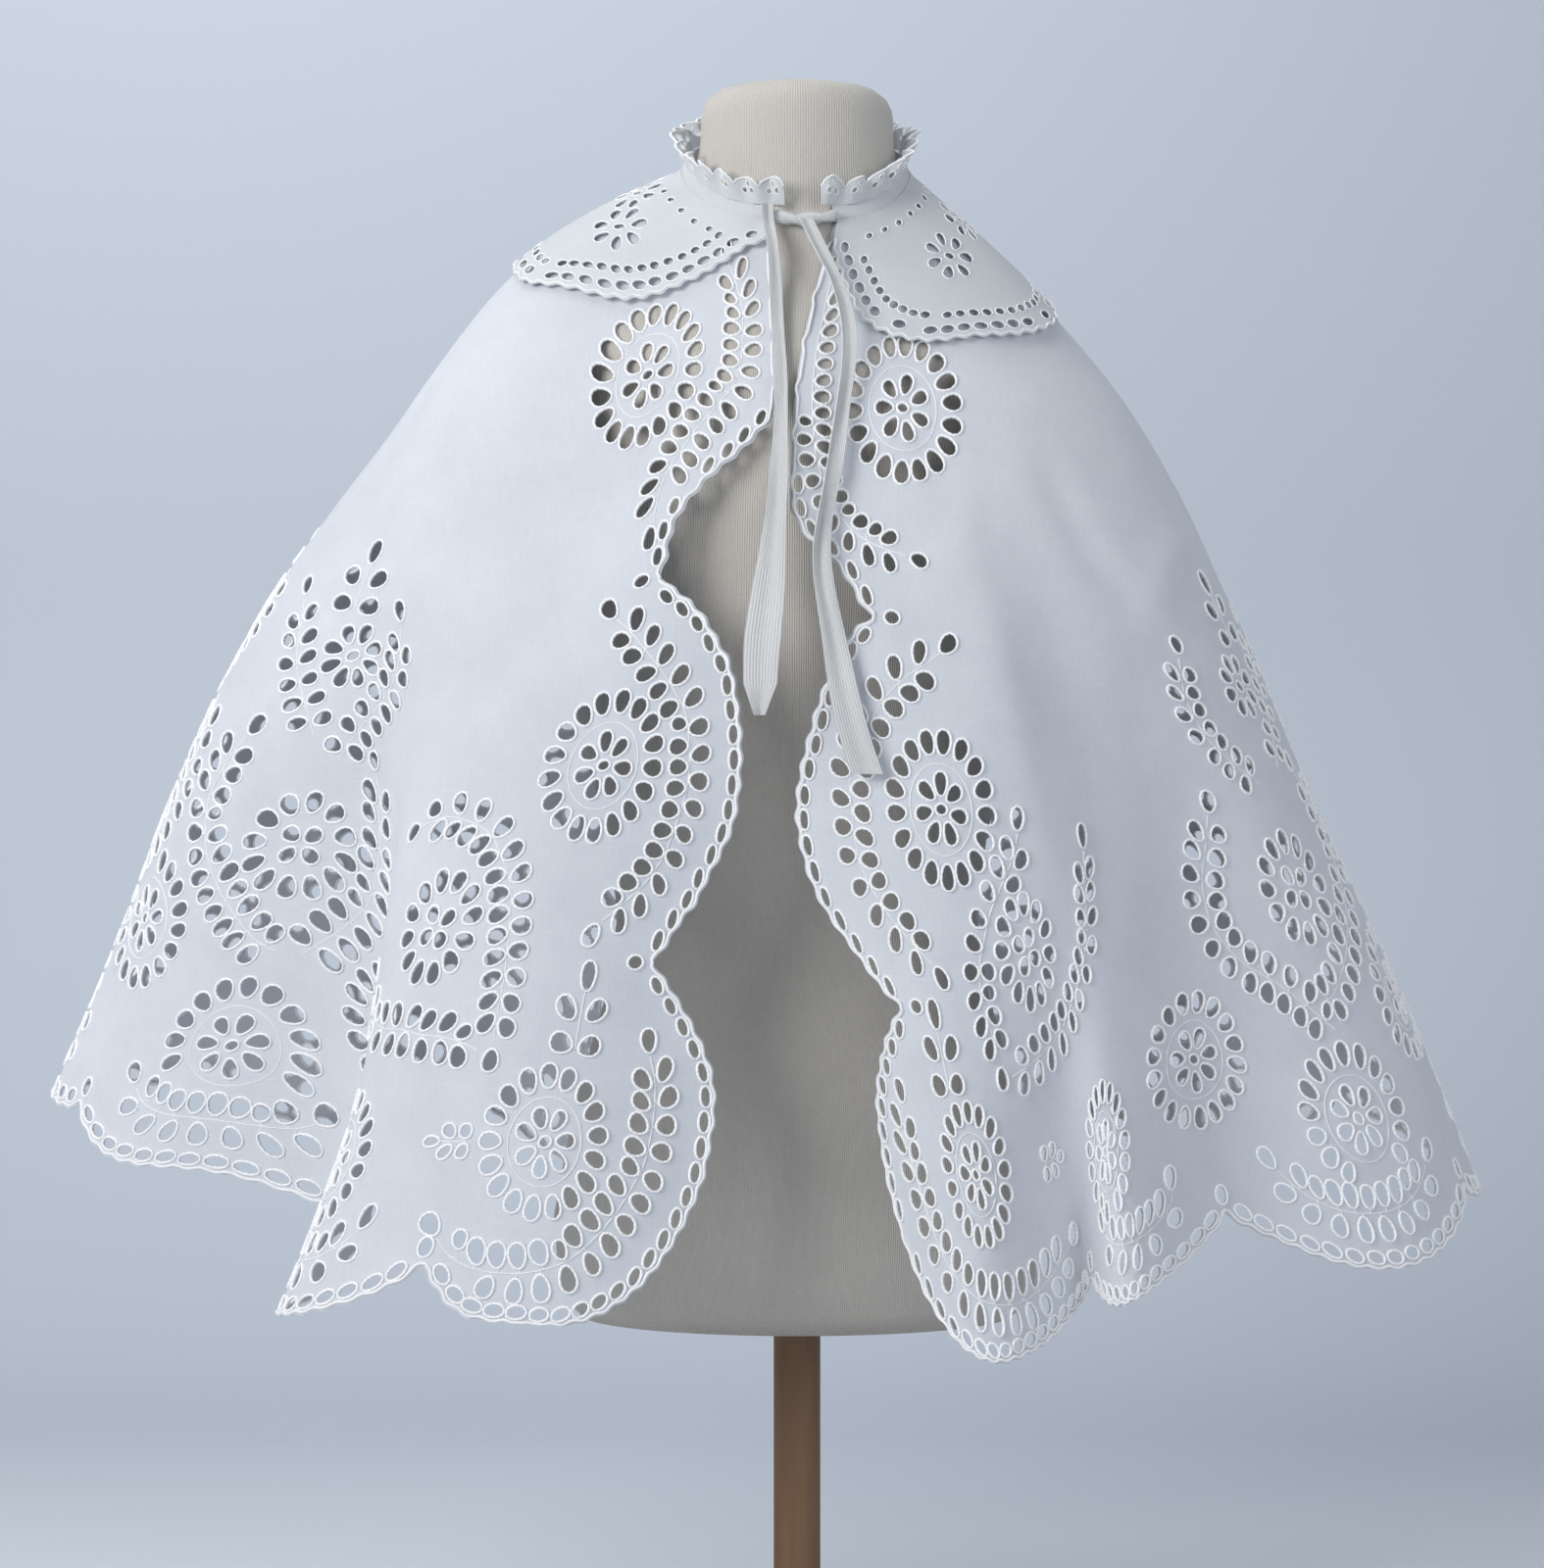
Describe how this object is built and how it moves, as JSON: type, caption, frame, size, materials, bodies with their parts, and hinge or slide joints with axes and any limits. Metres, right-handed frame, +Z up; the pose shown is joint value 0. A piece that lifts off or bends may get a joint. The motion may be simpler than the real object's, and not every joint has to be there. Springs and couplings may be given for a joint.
{
  "type": "eyelet cape on a dress form",
  "caption": "Open-fronted white cotton cape with eyelet embroidery, scalloped edges, a wide collar and tape ties, draped on a limbless dress form with a round stand.",
  "frame": {"origin": "centre of the underside of the round base, on the surface that it stands on", "axes": "+Z up through the pole and the neck, -Y towards the garment's front opening, +X to the right of someone who looks at that front"},
  "size_m": [0.7807, 0.4336, 0.853],
  "materials": {
    "white_cotton": "fine plain-weave cotton with eyelet embroidery",
    "cotton_tape": "woven cotton tape, ribbed lengthwise",
    "form_linen": "fine ribbed covering cloth",
    "stand_wood": "satin"
  },
  "bodies": {
    "root": {"cape_left": "white_cotton", "cape_right": "white_cotton", "collar_left": "white_cotton", "collar_right": "white_cotton", "neck_band": "white_cotton", "neck_frill": "white_cotton", "tie_knot": "cotton_tape", "tie_left": "cotton_tape", "tie_right": "cotton_tape", "form_torso": "form_linen", "stand_pole": "stand_wood", "stand_base": "stand_wood"}
  },
  "joints": []
}
